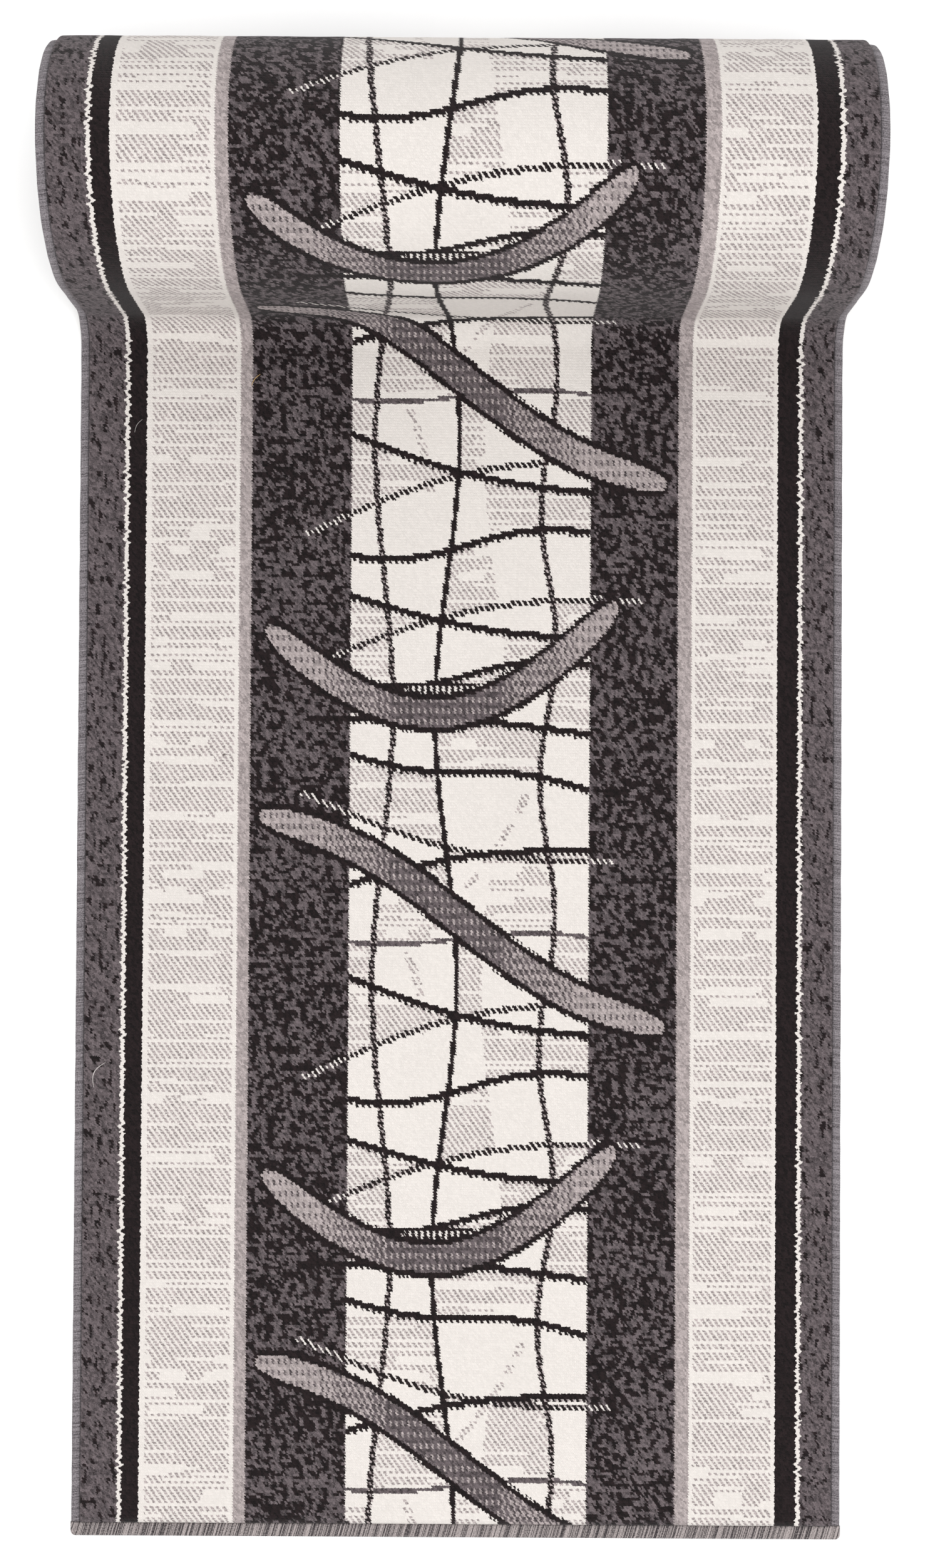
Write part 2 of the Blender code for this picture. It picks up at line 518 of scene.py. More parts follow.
UPRIGHTS = (
    Line(Stroke.BEADED, REPEAT, (320, 320), 10, 2),
    Line(Stroke.THREAD, REPEAT, (386, 386), -12, 2),
    Line(Stroke.UNSEEN, REPEAT, (436, 436), 12, 2),
    Line(Stroke.BEADED, REPEAT, (492, 492), 8, 4),
)
# Narrow hatched stripes that wander over the plain cells, and half their width.
TRAILS = (
    Line(Stroke.TRAIL, (228, 330), (470, 404), 6),
    Line(Stroke.TRAIL, (392, 480), (346, 368), 4),
)
TRAIL_HALF = 0.0042
FIRST_MASK = 4.0

SWEEP = Ribbon((190, 616), (250, 470), 0, -18)
CRESCENT = Ribbon((196, 566), (56, 30), 100, 0)
RIBBONS = (SWEEP, CRESCENT)
CRESCENT_SWAP = 11.0

# How much of a ribbon is woven in the light grey, by the distance across in millimetres.
SHADE: Places = (
    (180, 0.90), (240, 0.84), (268, 0.62), (312, 0.42), (345, 0.18), (425, 0.12), (455, 0.40), (505, 0.60),
    (545, 0.84), (620, 0.90),
)

# A short row of rungs over the crescent, in metres: its place across, along, and where the rungs begin.
LADDER_ACROSS, LADDER_ALONG, RUNGS_FROM = (0.346, 0.416), (0.1105, 0.1240), 0.1130

# Strips left plain in the hatching: picks tall, noise scale per tuft, and the two shares that stay hatched.
PLAIN_STRIPS = ((1.0, 0.030, 0.70, 0.42), (3.0, 0.045, 0.78, 0.50))


def metres(points: Places) -> Places:
    """Points in millimetres turned to metres."""
    return tuple((x / 1000, y / 1000) for x, y in points)


def between(value: Socket, low: float, high: float) -> tuple[Socket, float, float]:
    """What Op.NEAR needs to tell if a value is between two others: it, their middle, half their gap."""
    return value, (low + high) / 2, (high - low) / 2


@dataclass(frozen=True)
class Weave:
    """Where the design is read, as sockets of one node tree.

    across, along and upright are metres on the flat sheet, the first with the tufts' lean and the last
    without. column and row count tufts and picks, and tuft is both as a vector. rise is the place within the
    pick, 0 to 1. step counts picks within one repeat, and u and w are column and step as metres.
    """

    add: Callable[..., Socket]
    across: Socket
    along: Socket
    upright: Socket
    rise: Socket
    column: Socket
    row: Socket
    tuft: Socket
    step: Socket
    u: Socket
    w: Socket


@dataclass(frozen=True)
class WovenPile:
    """Heat-set polypropylene pile, cut on a face-to-face loom.

    To the eye it is matt, with soft-edged tufts in rows and no shine. A tuft is 2.08 mm across and a pick
    2.89 mm along, so every edge in the design steps by one of them.
    """

    tufts: float = 480.0  # in a metre across
    pick: float = 0.5673 / 196
    repeat_picks: float = 196.0
    first_pick: float = 340.0  # where in the design the free end is cut
    lean: float = 0.8  # of a tuft, within one pick
    wobble: float = 0.0023
    wobble_grain: float = 560.0
    waver: float = 0.0075
    waver_grain: float = 48.0
    twill: float = 3.0  # tufts from one dash of the hatching to the next
    dash: float = 1.6  # tufts that a dash is wide
    dash_gap: float = 0.20  # of a pick, between two rows of dashes
    blotch_level: float = 0.495  # of the noise, above which a tuft of the dark panels is black
    speck_level: float = 0.625  # the same for the borders
    line_half: float = 0.0031  # half the thickness of a comb line, without its teeth
    outline: float = 0.0060
    outline_tooth: float = 0.0018
    ivory: str = "#D3CDC8"
    light: str = "#9A908F"
    dark: str = "#544C4E"
    black: str = "#191112"

    def dress(self) -> bpy.types.Material:
        """Builds the material: the design layer by layer, then its colours and its relief.

        Returns:
            The material, to go on the pile.
        """
        made, tree, shader = new_material("polypropylene_pile_woven")
        at = self.weave(tree)
        yarn = self.bands(at)
        for layer in (self.hatching, self.mottling, self.drawing, self.ribbons):
            yarn = layer(at, yarn)
        matt = {"Roughness": 0.95, "Specular IOR Level": 0.15, "Sheen Weight": 0.06, "Sheen Roughness": 0.6}
        cover(shader, self.colours(at, yarn), matt, (self.relief(at), 0.55, 0.0007))
        return made

    def weave(self, tree: bpy.types.NodeTree) -> Weave:
        """Works out the places that the design is read at.

        Noise shifts them by up to 1.15 mm, so that tufts are not square. Within each pick the tufts lean, by
        most of a tuft's width from one side of the pick to the other.

        Args:
            tree: the material's node tree.

        Returns:
            The places.
        """
        add = partial(add_node, tree)
        place = add("ShaderNodeUVMap", uv_map="weave")
        grain = {"Vector": place, "Scale": self.wobble_grain, "Detail": 1.0}
        noise = add(NOISE, grain, 1, noise_dimensions="2D")
        shift = add("ShaderNodeVectorMath", (noise, (0.5, 0.5, 0.5)), operation="SUBTRACT")
        size = (self.wobble, self.wobble, 0.0)
        moved = add("ShaderNodeVectorMath", (shift, size, place), operation="MULTIPLY_ADD")
        upright, along, _ = add(SPLIT, (moved,)).node.outputs
        picks = add(Op.OVER, (along, self.pick))
        rise = add(Op.FRACTION, (picks,))
        lean = add(Op.MINUS, (rise, 0.5))
        across = add(Op.TIMES_PLUS, (lean, self.lean / self.tufts, upright))
        column = add(Op.FLOOR, (add(Op.TIMES, (across, self.tufts)),))
        row = add(Op.FLOOR, (picks,))
        u = add(Op.OVER, (add(Op.PLUS, (column, 0.5)), self.tufts))
        ahead = add(Op.MINUS, (self.first_pick, row))
        step = add(Op.REMAINDER, (ahead, self.repeat_picks))
        w = add(Op.TIMES, (step, self.pick))
        tuft = add(JOIN, (column, row, 0.0))
        return Weave(add, across, along, upright, rise, column, row, tuft, step, u, w)

    def bands(self, at: Weave) -> Socket:
        """The lengthwise bands, each laid over the ones before it from its own edge on.

        The edges of the white and the black ones waver by a tuft or so along the runner, both together.

        Args:
            at: the places.

        Returns:
            The yarn number.
        """
        place = at.add(Op.TIMES, (at.along, self.waver_grain))
        noise = at.add(NOISE, {"W": place, "Detail": 1.0, "Roughness": 0.4}, noise_dimensions="1D")
        waver = at.add(Op.MINUS, (noise, 0.5))
        waver = at.add(Op.TIMES, (waver, self.waver))
        readers = {Edge.STRAIGHT: at.u}
        for edge in (Edge.STIRRED, Edge.WAVY):
            readers[edge] = at.add(Op.TIMES_PLUS, (waver, edge.value, at.upright))
        yarn = Yarn.DARK.value
        for start, colour, edge in BANDS:
            past = at.add(Op.ABOVE, (readers[edge], start))
            yarn = at.add(MIX, {0: past, 2: yarn, 3: colour.value})
        return yarn

    def hatched(self, at: Weave) -> Socket:
        """Where there is hatching: on the pale bands, on some cells of the field and on the trails.

        A cell is hatched when the binary digit of its column is set in the number of its row.

        Args:
            at: the places.

        Returns:
            1 there, and 0 elsewhere.
        """
        add = at.add
        mask, bit = FIRST_MASK, 0.0
        crossings = [(line.points(), line.swap) for line in LINES]
        crossings.append((CRESCENT.edge(-1)[1:-1], CRESCENT_SWAP))
        for points, swap in crossings:
            level = add(CURVE, (1.0, at.u), points=metres(points))
            past = add(Op.ABOVE, (at.w, level))
            mask = add(Op.TIMES_PLUS, (past, swap, mask))
        for line in UPRIGHTS:
            level = add(CURVE, (1.0, at.w), points=metres(line.points()))
            past = add(Op.ABOVE, (at.u, level))
            bit = add(Op.PLUS, (bit, past))
        shifted = add(Op.OVER, (mask, add(Op.POWER, (2.0, bit))))
        digit = add(Op.REMAINDER, (add(Op.FLOOR, (shifted,)), 2.0))
        inside = add(Op.NEAR, between(at.u, *MIDDLE_FIELD))
        area = add(Op.TIMES, (digit, inside))
        for band in HATCHED_BANDS:
            inside = add(Op.NEAR, between(at.u, *band))
            area = add(Op.LARGER, (area, inside))
        for line in TRAILS:
            level = add(CURVE, (1.0, at.w), points=metres(line.points()))
            near = add(Op.NEAR, (at.u, level, TRAIL_HALF))
            ends = add(Op.NEAR, between(at.w, *(end / 1000 for end in line.span)))
            area = add(Op.LARGER, (area, add(Op.TIMES, (near, ends))))
        return area

    def hatching(self, at: Weave, yarn: Socket) -> Socket:
        """Light-grey dashes where there is hatching: one in every three tufts, a tuft further on each pick.

        Here and there one pick or three are left plain, in strips a few centimetres long.

        Args:
            at: the places.
            yarn: the yarn number so far.

        Returns:
            The yarn number.
        """
        add = at.add
        slant = add(Op.TIMES_PLUS, (at.across, self.tufts, at.row))
        dash = add(Op.BELOW, (add(Op.REMAINDER, (slant, self.twill)), self.dash))
        dash = add(Op.TIMES, (dash, add(Op.ABOVE, (at.rise, self.dash_gap))))
        for picks, length, rare, most in PLAIN_STRIPS:
            group = add(Op.FLOOR, (add(Op.OVER, (at.row, picks)),))
            each = add(RANDOM, {"W": group}, noise_dimensions="1D")
            chosen = add(Op.ABOVE, (each, rare))
            wide = add(Op.TIMES, (at.column, length))
            place = add(JOIN, (wide, add(Op.TIMES, (group, 7.3)), 0.0))
            reach = add(NOISE, {"Vector": place, "Scale": 1.0, "Detail": 0.0}, noise_dimensions="2D")
            plain = add(Op.TIMES, (chosen, add(Op.ABOVE, (reach, most))))
            dash = add(Op.MINUS, (dash, plain), use_clamp=True)
        dash = add(Op.TIMES, (dash, self.hatched(at)))
        return add(MIX, {0: dash, 2: yarn, 3: Yarn.LIGHT.value})

    def mottling(self, at: Weave, yarn: Socket) -> Socket:
        """Black tufts in blotches of 8 to 15 mm on the dark panels, and sparse specks on the borders.

        Args:
            at: the places.
            yarn: the yarn number so far.

        Returns:
            The yarn number.
        """
        add = at.add
        wide = add(Op.TIMES, (at.column, 0.25))
        place = add(JOIN, (wide, add(Op.TIMES, (at.row, 0.31)), 3.0))
        blotch = {"Vector": place, "Scale": 1.0, "Detail": 2.0, "Roughness": 0.75}
        blotch = add(NOISE, blotch, noise_dimensions="2D")
        patch = add(NOISE, {"Vector": place, "Scale": 0.13, "Detail": 1.0}, noise_dimensions="2D")
        patch = add(Op.TIMES_PLUS, (add(Op.MINUS, (patch, 0.5)), 0.16, blotch))
        left, right = (add(Op.NEAR, between(at.u, *panel)) for panel in DARK_PANELS)
        panels = add(Op.LARGER, (left, right))
        black = add(Op.TIMES, (add(Op.ABOVE, (patch, self.blotch_level)), panels))
        wide = add(Op.TIMES, (at.column, 0.36))
        place = add(JOIN, (wide, add(Op.TIMES, (at.row, 0.22)), 9.0))
        speck = {"Vector": place, "Scale": 1.0, "Detail": 1.5, "Roughness": 0.6}
        speck = add(Op.ABOVE, (add(NOISE, speck, noise_dimensions="2D"), self.speck_level))
        left = add(Op.BELOW, (at.u, BORDERS[0]))
        right = add(Op.ABOVE, (at.u, BORDERS[1]))
        specks = add(Op.TIMES, (speck, add(Op.LARGER, (left, right))))
        black = add(Op.LARGER, (black, specks))
        return add(MIX, {0: black, 2: yarn, 3: Yarn.BLACK.value})

    def drawing(self, at: Weave, yarn: Socket) -> Socket:
        """The thin lines, across and along, then the ladder.

        A tuft belongs to a line when it is within half the line's thickness of the line's curve.

        Args:
            at: the places.
            yarn: the yarn number so far.

        Returns:
            The yarn number.
        """
        add = at.add
        inside = add(Op.NEAR, between(at.u, *MIDDLE_FIELD))
        outside = add(Op.MINUS, (1.0, inside))
        thirds = add(Op.TIMES, (at.across, self.tufts / 3))
        thirds = add(Op.FRACTION, (thirds,))
        tooth = add(Op.BELOW, (thirds, 0.50))
        knots = add(Op.TIMES_PLUS, (at.step, 2.0, at.column))
        gap = add(Op.BELOW, (add(Op.REMAINDER, (knots, 3.0)), 0.5))
        knots = add(Op.TIMES_PLUS, (at.column, 2.0, at.step))
        hole = add(Op.BELOW, (add(Op.REMAINDER, (knots, 4.0)), 0.5))
        bead, pearl = (add(Op.MINUS, (1.0, empty)) for empty in (gap, hole))
        # A tooth reaches one pick further, on the near side only.
        toothed = add(Op.TIMES_PLUS, (tooth, -0.5 * self.pick, at.w))
        reach = add(Op.TIMES_PLUS, (tooth, 0.5 * self.pick, self.line_half))
        # For each stroke: what its curve is compared with, half its thickness, its pattern and its yarn.
        looks = {
            Stroke.GREY: (at.w, 0.0022, 1.0, Yarn.DARK),
            Stroke.DOTTED: (at.w, 0.0033, bead, Yarn.BLACK),
            Stroke.BEADED: (at.u, 0.0030, pearl, Yarn.BLACK),
            Stroke.THREAD: (at.u, 0.0027, 1.0, Yarn.BLACK),
            Stroke.COMB: (toothed, reach, 1.0, Yarn.BLACK),
            Stroke.SOLID: (toothed, reach, 1.0, Yarn.BLACK),
        }
        for stroke, (reader, half, pattern, colour) in looks.items():
            mask = 0.0
            upright = stroke in (Stroke.BEADED, Stroke.THREAD)
            for line in (line for line in (UPRIGHTS if upright else LINES) if line.stroke is stroke):
                level = add(CURVE, (1.0, at.w if upright else at.u), points=metres(line.points()))
                near = add(Op.NEAR, (reader, level, half))
                if stroke in (Stroke.GREY, Stroke.SOLID, Stroke.DOTTED):
                    ends = add(Op.NEAR, between(at.u, *(end / 1000 for end in line.span)))
                    near = add(Op.TIMES, (near, ends))
                mask = add(Op.LARGER, (mask, near))
            # Grey between the black beads, and ivory dots where a dotted line runs on over the dark panels.
            fillings = {Stroke.BEADED: (hole, inside, Yarn.LIGHT), Stroke.DOTTED: (gap, outside, Yarn.IVORY)}
            if stroke in fillings:
                empty, where, filling = fillings[stroke]
                dots = add(Op.TIMES, (add(Op.TIMES, (mask, empty)), where))
                yarn = add(MIX, {0: dots, 2: yarn, 3: filling.value})
            mask = add(Op.TIMES, (mask, pattern))
            if stroke not in (Stroke.GREY, Stroke.SOLID):
                mask = add(Op.TIMES, (mask, inside))
            yarn = add(MIX, {0: mask, 2: yarn, 3: colour.value})
        wide = add(Op.NEAR, between(at.u, *LADDER_ACROSS))
        long = add(Op.NEAR, between(at.w, *LADDER_ALONG))
        ladder = add(Op.TIMES, (wide, long))
        yarn = add(MIX, {0: ladder, 2: yarn, 3: Yarn.BLACK.value})
        rung = add(Op.BELOW, (thirds, 0.42))
        rung = add(Op.TIMES, (rung, add(Op.ABOVE, (at.w, RUNGS_FROM))))
        return add(MIX, {0: add(Op.TIMES, (ladder, rung)), 2: yarn, 3: Yarn.IVORY.value})

    def ribbons(self, at: Weave, yarn: Socket) -> Socket:
        """The two brush strokes: light and dark grey tufts in a regular mixture, with a black outline.

        The mixture compares the share of light grey with a number that steps through sixths from tuft to
        tuft, so a small share shows as dots and a larger one as slanting dashes.

        Args:
            at: the places.
            yarn: the yarn number so far.

        Returns:
            The yarn number.
        """
        add = at.add
        pair = add(Op.FLOOR, (add(Op.TIMES, (at.step, 0.5)),))
        odd = add(Op.TIMES, (add(Op.REMAINDER, (pair, 2.0)), 3.0))
        order = add(Op.TIMES_PLUS, (at.column, 2.0, odd))
        order = add(Op.REMAINDER, (order, 6.0))
        order = add(Op.OVER, (add(Op.PLUS, (order, 0.5)), 6.0))
        share = add(CURVE, (1.0, at.u), points=tuple((x / 1000, y) for x, y in SHADE))
        lighter = add(Op.ABOVE, (share, order))
        tooth = add(Op.REMAINDER, (at.column, 2.0))
        inside = 0.0
        for ribbon in RIBBONS:
            far, near = (add(CURVE, (1.0, at.u), points=metres(ribbon.edge(side))) for side in (-1, 1))
            low = add(Op.MINUS, (at.w, far))
            high = add(Op.MINUS, (near, at.w))
            depth = add(Op.SMALLER, (low, high))
            outline = add(Op.TIMES_PLUS, (tooth, self.outline_tooth, depth))
            outline = add(Op.ABOVE, (outline, -self.outline))
            yarn = add(MIX, {0: outline, 2: yarn, 3: Yarn.BLACK.value})
            within = add(Op.ABOVE, (depth, 0.0))
            inside = add(Op.LARGER, (inside, within))
        yarn = add(MIX, {0: inside, 2: yarn, 3: Yarn.DARK.value})
        return add(MIX, {0: add(Op.TIMES, (inside, lighter)), 2: yarn, 3: Yarn.LIGHT.value})

    def colours(self, at: Weave, yarn: Socket) -> Socket:
        """The yarn's colour, a little lighter or darker from tuft to tuft and from fibre to fibre.

        The darker the yarn, the more it varies.

        Args:
            at: the places.
            yarn: the yarn number.

        Returns:
            The colour.
        """
        add = at.add
        colour = linear(self.ivory)
        for number, dye in enumerate((self.light, self.dark, self.black)):
            past = add(Op.ABOVE, (yarn, number + 0.5))
            colour = add(MIX, {0: past, 6: colour, 7: linear(dye)}, 2, data_type="RGBA")
        place = add("ShaderNodeUVMap", uv_map="weave")
        each = add(RANDOM, {"Vector": at.tuft}, noise_dimensions="3D")
        fibre = add(NOISE, {"Vector": place, "Scale": 800.0, "Detail": 3.0}, noise_dimensions="2D")
        worn = add(NOISE, {"Vector": place, "Scale": 14.0, "Detail": 2.0}, noise_dimensions="2D")
        spread = add(RAMP, {0: yarn, 1: 0.0, 2: 2.0, 3: 0.08, 4: 1.10})
        value = 1.0
        finer = add(Op.TIMES, (spread, 1.6))
        for noise, size in ((each, spread), (fibre, finer), (worn, 0.06)):
            noise = add(Op.MINUS, (noise, 0.5))
            value = add(Op.TIMES_PLUS, (noise, size, value))
        return add("ShaderNodeHueSaturation", {"Value": value, "Color": colour})

    def relief(self, at: Weave) -> Socket:
        """The height of the pile: a round hump for each tuft, plus a random part, with fibres.

        The hump is the root of the product of the sines of the place within the tuft's width and its pick.

        Args:
            at: the places.

        Returns:
            The height.
        """
        add = at.add
        sines = []
        for place, waves in ((at.across, self.tufts * math.pi), (at.along, math.pi / self.pick)):
            sine = add(Op.SINE, (add(Op.TIMES, (place, waves)),))
            sines.append(add(Op.ABSOLUTE, (sine,)))
        hump = add(Op.POWER, (add(Op.TIMES, tuple(sines)), 0.5))
        each = add(RANDOM, {"Vector": at.tuft}, noise_dimensions="3D")
        place = add("ShaderNodeUVMap", uv_map="weave")
        fibre = add(NOISE, {"Vector": place, "Scale": 1100.0, "Detail": 2.0}, noise_dimensions="2D")
        height = add(Op.TIMES_PLUS, (each, 0.35, hump))
        return add(Op.TIMES_PLUS, (fibre, 0.5, height))


@dataclass(frozen=True)
class OverlockYarn:
    """Polyester serging yarn, sewn over the edge by machine.

    To the eye it is fine strands side by side, each its own grey, with a faint sheen. Three of them lie in
    each pitch of 2.2 mm. They run round the edge, so a strand is a band across the piece's own map.
    """

    name: str
    pale: str
    deep: str
    pitch: float = 0.0022
    lean: float = 0.15
    turn: float = 0.0105  # how far round the section the yarn turns under
    variety: float = 0.6  # how much the strands differ

    def dress(self) -> bpy.types.Material:
        """Builds the material: each strand gets its own mixture of the pale and the deep yarn, with painted
        shade in the grooves, at the inner edge and under the edge.

        Returns:
            The material, to go on a binding.
        """
        made, tree, shader = new_material(self.name)
        add = partial(add_node, tree)
        place = add("ShaderNodeUVMap", uv_map="weave")
        around, along, _ = add(SPLIT, (place,)).node.outputs
        leaning = add(Op.TIMES_PLUS, (around, self.lean, along))
        strand = add(Op.TIMES, (leaning, 3.0 / self.pitch))
        number = add(Op.FLOOR, (strand,))
        each = add(RANDOM, {"W": number}, noise_dimensions="1D")
        grain = {"Vector": place, "Scale": 700.0, "Detail": 3.0, "Roughness": 0.8}
        grain = add(NOISE, grain, noise_dimensions="2D")
        mixture = add(Op.TIMES_PLUS, (each, self.variety, 0.5 - self.variety / 2))
        share = add(Op.TIMES_PLUS, (add(Op.MINUS, (grain, 0.5)), 2.4, mixture))
        # Painted shade: the groove between strands darkens the colour, and it also shapes the relief.
        groove = add(Op.SINE, (add(Op.TIMES, (strand, math.pi)),))
        groove = add(Op.ABSOLUTE, (groove,))
        share = add(Op.TIMES, (share, add(Op.TIMES_PLUS, (groove, 0.45, 0.55))))
        # Painted shade: the colour darkens where the yarn dives into the pile and where it turns under the
        # edge.
        inner = add(RAMP, {0: around, 1: 0.0006, 2: 0.0026, 3: 0.1, 4: 1.0})
        outer = add(RAMP, {0: around, 1: self.turn - 0.0015, 2: self.turn + 0.0010, 3: 1.0, 4: 0.45})
        share = add(Op.TIMES, (share, add(Op.TIMES, (inner, outer))))
        colour = add(MIX, {0: share, 6: linear(self.deep), 7: linear(self.pale)}, 2, data_type="RGBA")
        height = add(Op.TIMES_PLUS, (grain, 0.5, groove))
        sheen = {"Roughness": 0.8, "Specular IOR Level": 0.3, "Sheen Weight": 0.1}
        cover(shader, colour, sheen, (height, 0.6, 0.0003))
        return made


@dataclass(frozen=True)
class GroundWeave:
    """Jute and polypropylene ground, woven plain and sized.

    To the eye it is coarse, matt, straw-coloured threads. A warp thread every 4.2 mm and a weft every
    2.9 mm, over and under by turns.
    """

    jute: str = "#C6B698"
    # The second colour is painted shade, for the hollows between the threads.
    shade: str = "#8E7F66"
    warp: float = 0.0042
    weft: float = 0.0029

    def dress(self) -> bpy.types.Material:
        """Builds the material: the height is the larger of two sets of round threads, over and under, and
        painted shade darkens the colour where it is low.

        Returns:
            The material, to go on the backing.
        """
        made, tree, shader = new_material("jute_ground_woven")
        add = partial(add_node, tree)
        place = add("ShaderNodeUVMap", uv_map="weave")
        across, along, _ = add(SPLIT, (place,)).node.outputs
        wide = add(Op.SINE, (add(Op.TIMES, (across, math.pi / self.warp)),))
        long = add(Op.SINE, (add(Op.TIMES, (along, math.pi / self.weft)),))
        over = add(Op.TIMES_PLUS, (add(Op.TIMES, (wide, long)), 0.5, 0.5))
        grain = add(NOISE, {"Vector": place, "Scale": 700.0, "Detail": 3.0}, noise_dimensions="2D")
        height = add(Op.TIMES_PLUS, (grain, 0.6, over))
        # Painted shade: the colour runs to the shade colour where the height is low, between the threads, and
        # the grain in the height also varies it at random.
        colour = add(MIX, {0: height, 6: linear(self.shade), 7: linear(self.jute)}, 2, data_type="RGBA")
        cover(shader, colour, {"Roughness": 0.92, "Specular IOR Level": 0.2}, (height, 0.7, 0.0006))
        return made


@dataclass(frozen=True)
class LintFibre:
    """A loose polypropylene fibre shed from the pile.

    To the eye it is thin, slightly glossy and uneven along its length.
    """

    name: str
    colour: str

    def dress(self) -> bpy.types.Material:
        """Builds the material, mottled lightly along the fibre.

        Returns:
            The material, to go on a fibre.
        """
        made, tree, shader = new_material(self.name)
        place = add_node(tree, "ShaderNodeTexCoord", output="Object")
        grain = add_node(tree, NOISE, {"Vector": place, "Scale": 500.0, "Detail": 2.0})
        value = add_node(tree, Op.TIMES_PLUS, (grain, 0.4, 0.8))
        colour = add_node(tree, "ShaderNodeHueSaturation", {"Value": value, "Color": linear(self.colour)})
        cover(shader, colour, {"Roughness": 0.5})
        return made


# ---------------------------------------------------------------- the pieces


@dataclass
class PileFace:
    """The pile: a thick skin between the bindings, a little uneven, with rounded edges."""

    trace: Trace
    half_width: float = 0.3902
    base: float = 0.0025
    top: float = 0.0090
    end_margin: float = 0.0153
    edge_round: float = 0.0022
    columns: int = 54

    def profile(self) -> tuple[np.ndarray, np.ndarray, np.ndarray]:
        """The ring round the cross-section.

        Returns:
            Each point's place across, its height, and its share of the way round on the bake map.
        """
        arc = np.linspace(0, math.pi / 2, 4)
        drop = self.edge_round * (1 - np.sin(arc))
        inset = self.edge_round * (1 - np.cos(arc))
        middle = np.linspace(-1, 1, self.columns)[1:-1] * (self.half_width - self.edge_round)
        half, foot = self.half_width, [self.base]
        across = np.concatenate([[-half], inset - half, middle, half - inset[::-1], [half, 0.0]])
        face = np.full(len(middle), self.top)
        height = np.concatenate([foot, self.top - drop, face, self.top - drop[::-1], foot, foot])
        spread = np.concatenate([0.97 * (across[:-1] + half) / (2 * half), [0.985, 1.0]])
        return across, height, spread

    def rings(self) -> tuple[np.ndarray, np.ndarray]:
        """The skin's points, the top lifted or sunk by sums of slow sines of up to 0.3 mm.

        Returns:
            The points, and their places on the flat sheet.
        """
        across, height, _ = self.profile()
        last = self.trace.length - self.end_margin
        run = self.trace.stations(self.end_margin, last, 0.0065, math.radians(4.4))
        x, s = np.meshgrid(across, run)
        level = np.broadcast_to(height, x.shape)
        swell = 0.00016 * np.sin(2 * math.pi * (s / 0.117 + 0.5 * np.sin(7 * x)))
        swell += 0.00014 * np.sin(2 * math.pi * (x / 0.083 + s / 0.31))
        swell += 0.00010 * np.sin(2 * math.pi * (x / 0.031 - s / 0.047))
        level = np.where(level > self.base + 1e-6, level + swell - 0.0001, level)
        # Both cut ends are shorn down a little towards the binding.
        near_end = np.minimum(run - run[0], run[-1] - run) / 0.004
        level = level - (0.0022 * np.clip(1 - near_end, 0, 1) ** 2)[:, None] * (level > self.base + 1e-6)
        points = self.trace.place(x, s, level)
        flat = np.interp(run, self.trace.run, self.trace.pile_run) - self.end_margin
        wide = np.append(across, across[0])
        weave = np.stack(np.broadcast_arrays(wide[None, :] + 0.4, flat[:, None]), -1)
        return points, weave

    def build(self) -> bpy.types.Object:
        """Builds and dresses the pile, in place of its plain solid.

        Returns:
            The piece, riding on the one body.
        """
        points, weave = self.rings()
        spread = np.append(self.profile()[2], 1.0)
        piece = Skin("pile_surface", points, weave, spread, folds=3).build()
        piece.data.materials.append(WovenPile().dress())
        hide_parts("pile_face")
        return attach(piece, "root")


@dataclass
class Backing:
    """The woven ground under the pile."""

    trace: Trace
    half_width: float = 0.3981
    thick: float = 0.0022
    end_margin: float = 0.0019

    def build(self) -> bpy.types.Object:
        """Builds and dresses the backing: a flat ring carried along the path, with slow ripples of 0.1 mm.

        Returns:
            The piece, riding on the one body.
        """
        across = np.concatenate([np.linspace(-1, 1, 9), np.linspace(1, -1, 9)]) * self.half_width
        height = np.repeat([0.0, self.thick], 9)
        last = self.trace.length - self.end_margin
        run = self.trace.stations(self.end_margin, last, 0.012, math.radians(5.5))
        x, s = np.meshgrid(across, run)
        level = height + 0.00005 * (1 + np.sin(180 * s + 9 * x)) * np.where(height > 0, -1, 1)
        wide = np.append(across, across[0])
        weave = np.stack(np.broadcast_arrays(wide[None, :] + 0.4, run[:, None]), -1)
        spread = np.linspace(0, 1, len(wide))
        piece = Skin("ground_weave_backing", self.trace.place(x, s, level), weave, spread, folds=3).build()
        piece.data.materials.append(GroundWeave().dress())
        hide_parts("backing")
        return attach(piece, "root")


@dataclass
class Binding:
    """Overlocked yarn over an edge: a rounded L in section, ribbed by its stitches.

    A rib stands out by its size times the square root of the sine of its place in the stitch, and leans a
    little along the edge as it goes round. Each row of the section is a point's distance inwards from the
    edge, its height, and how far it may swell.
    """

    trace: Trace
    section: tuple[tuple[float, float, float], ...]
    stitch: float
    rib: float
    slant: float
    closing: float = 0.007  # back to the first point, round the section's inside
    under: float = 0.0015  # further in than this, a rib lifts the yarn
    beside: float = 0.004  # and nearer the edge than this, it pushes it out

    def ribbed(self, along: np.ndarray) -> tuple[np.ndarray, np.ndarray, np.ndarray, np.ndarray]:
        """The section at each place along the edge.

        Args:
            along: the places.

        Returns:
            How far inwards each point is, its height and how far out its rib pushes it, and the distances
            round the closed section.
        """
        inwards, height, swell = np.array(self.section).T
        around = np.concatenate([[0], np.cumsum(np.hypot(np.diff(inwards), np.diff(height)))])
        turn = along[:, None] / self.stitch + self.slant * around[None, :] / self.stitch
        rib = self.rib * np.sqrt(np.abs(np.sin(math.pi * turn))) * swell
        level = height[None, :] + np.where(inwards > self.under, rib, 0) - self.rib * (swell > 0.7)
        push = np.where(inwards < self.beside, rib, 0)
        return inwards, level, push, np.append(around, around[-1] + self.closing)


